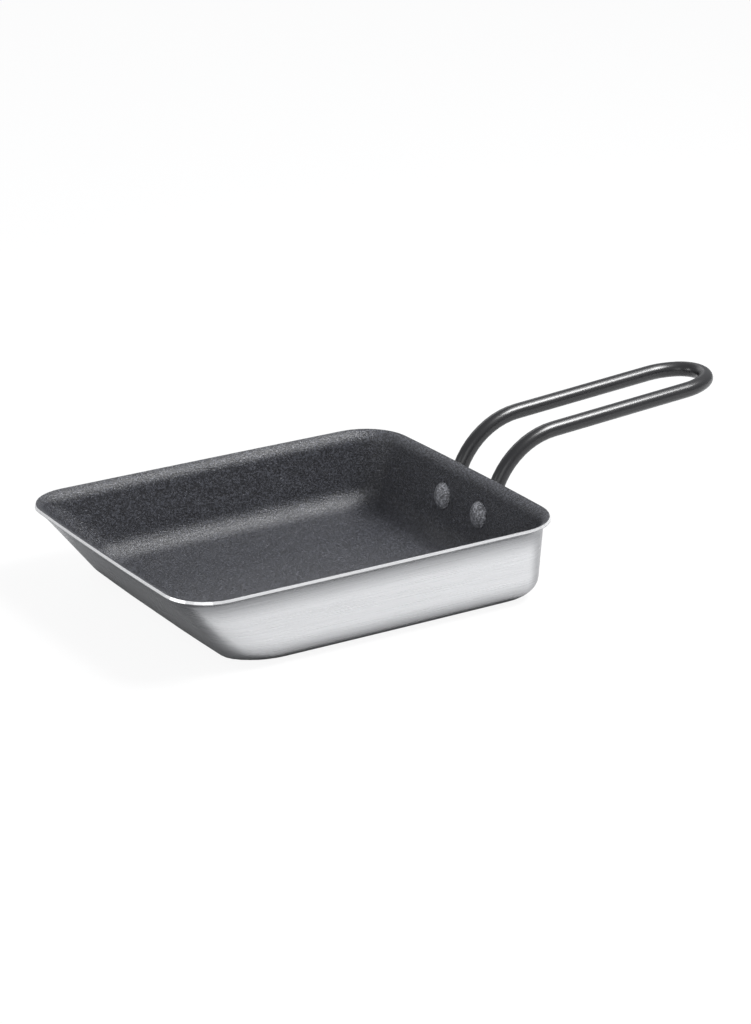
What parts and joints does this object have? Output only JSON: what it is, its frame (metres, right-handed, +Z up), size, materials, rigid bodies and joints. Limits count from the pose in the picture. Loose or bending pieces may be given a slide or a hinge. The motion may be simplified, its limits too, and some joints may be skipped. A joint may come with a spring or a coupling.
{
  "type": "tamagoyaki pan",
  "caption": "Small rectangular omelette pan: pressed metal body with a flared lip, sloped serving end, dark non-stick lining and a riveted looped rod handle.",
  "frame": {"origin": "on the resting plane, under the middle of the rim", "axes": "+X towards the handle, +Z up, Y across the pan"},
  "size_m": [0.3101, 0.1516, 0.0622],
  "materials": {
    "brushed_metal": "fine brushed grain along the walls, bright trimmed edge",
    "nonstick": "charcoal non-stick lining with fine sparkle",
    "handle_black": "glossy black enamel on a steel rod",
    "rivet_dark": "coated rivet heads, as dark as the lining"
  },
  "bodies": {
    "root": {"pan_body": "brushed_metal", "nonstick_lining": "nonstick", "handle": "handle_black", "rivets": "rivet_dark"}
  },
  "joints": []
}
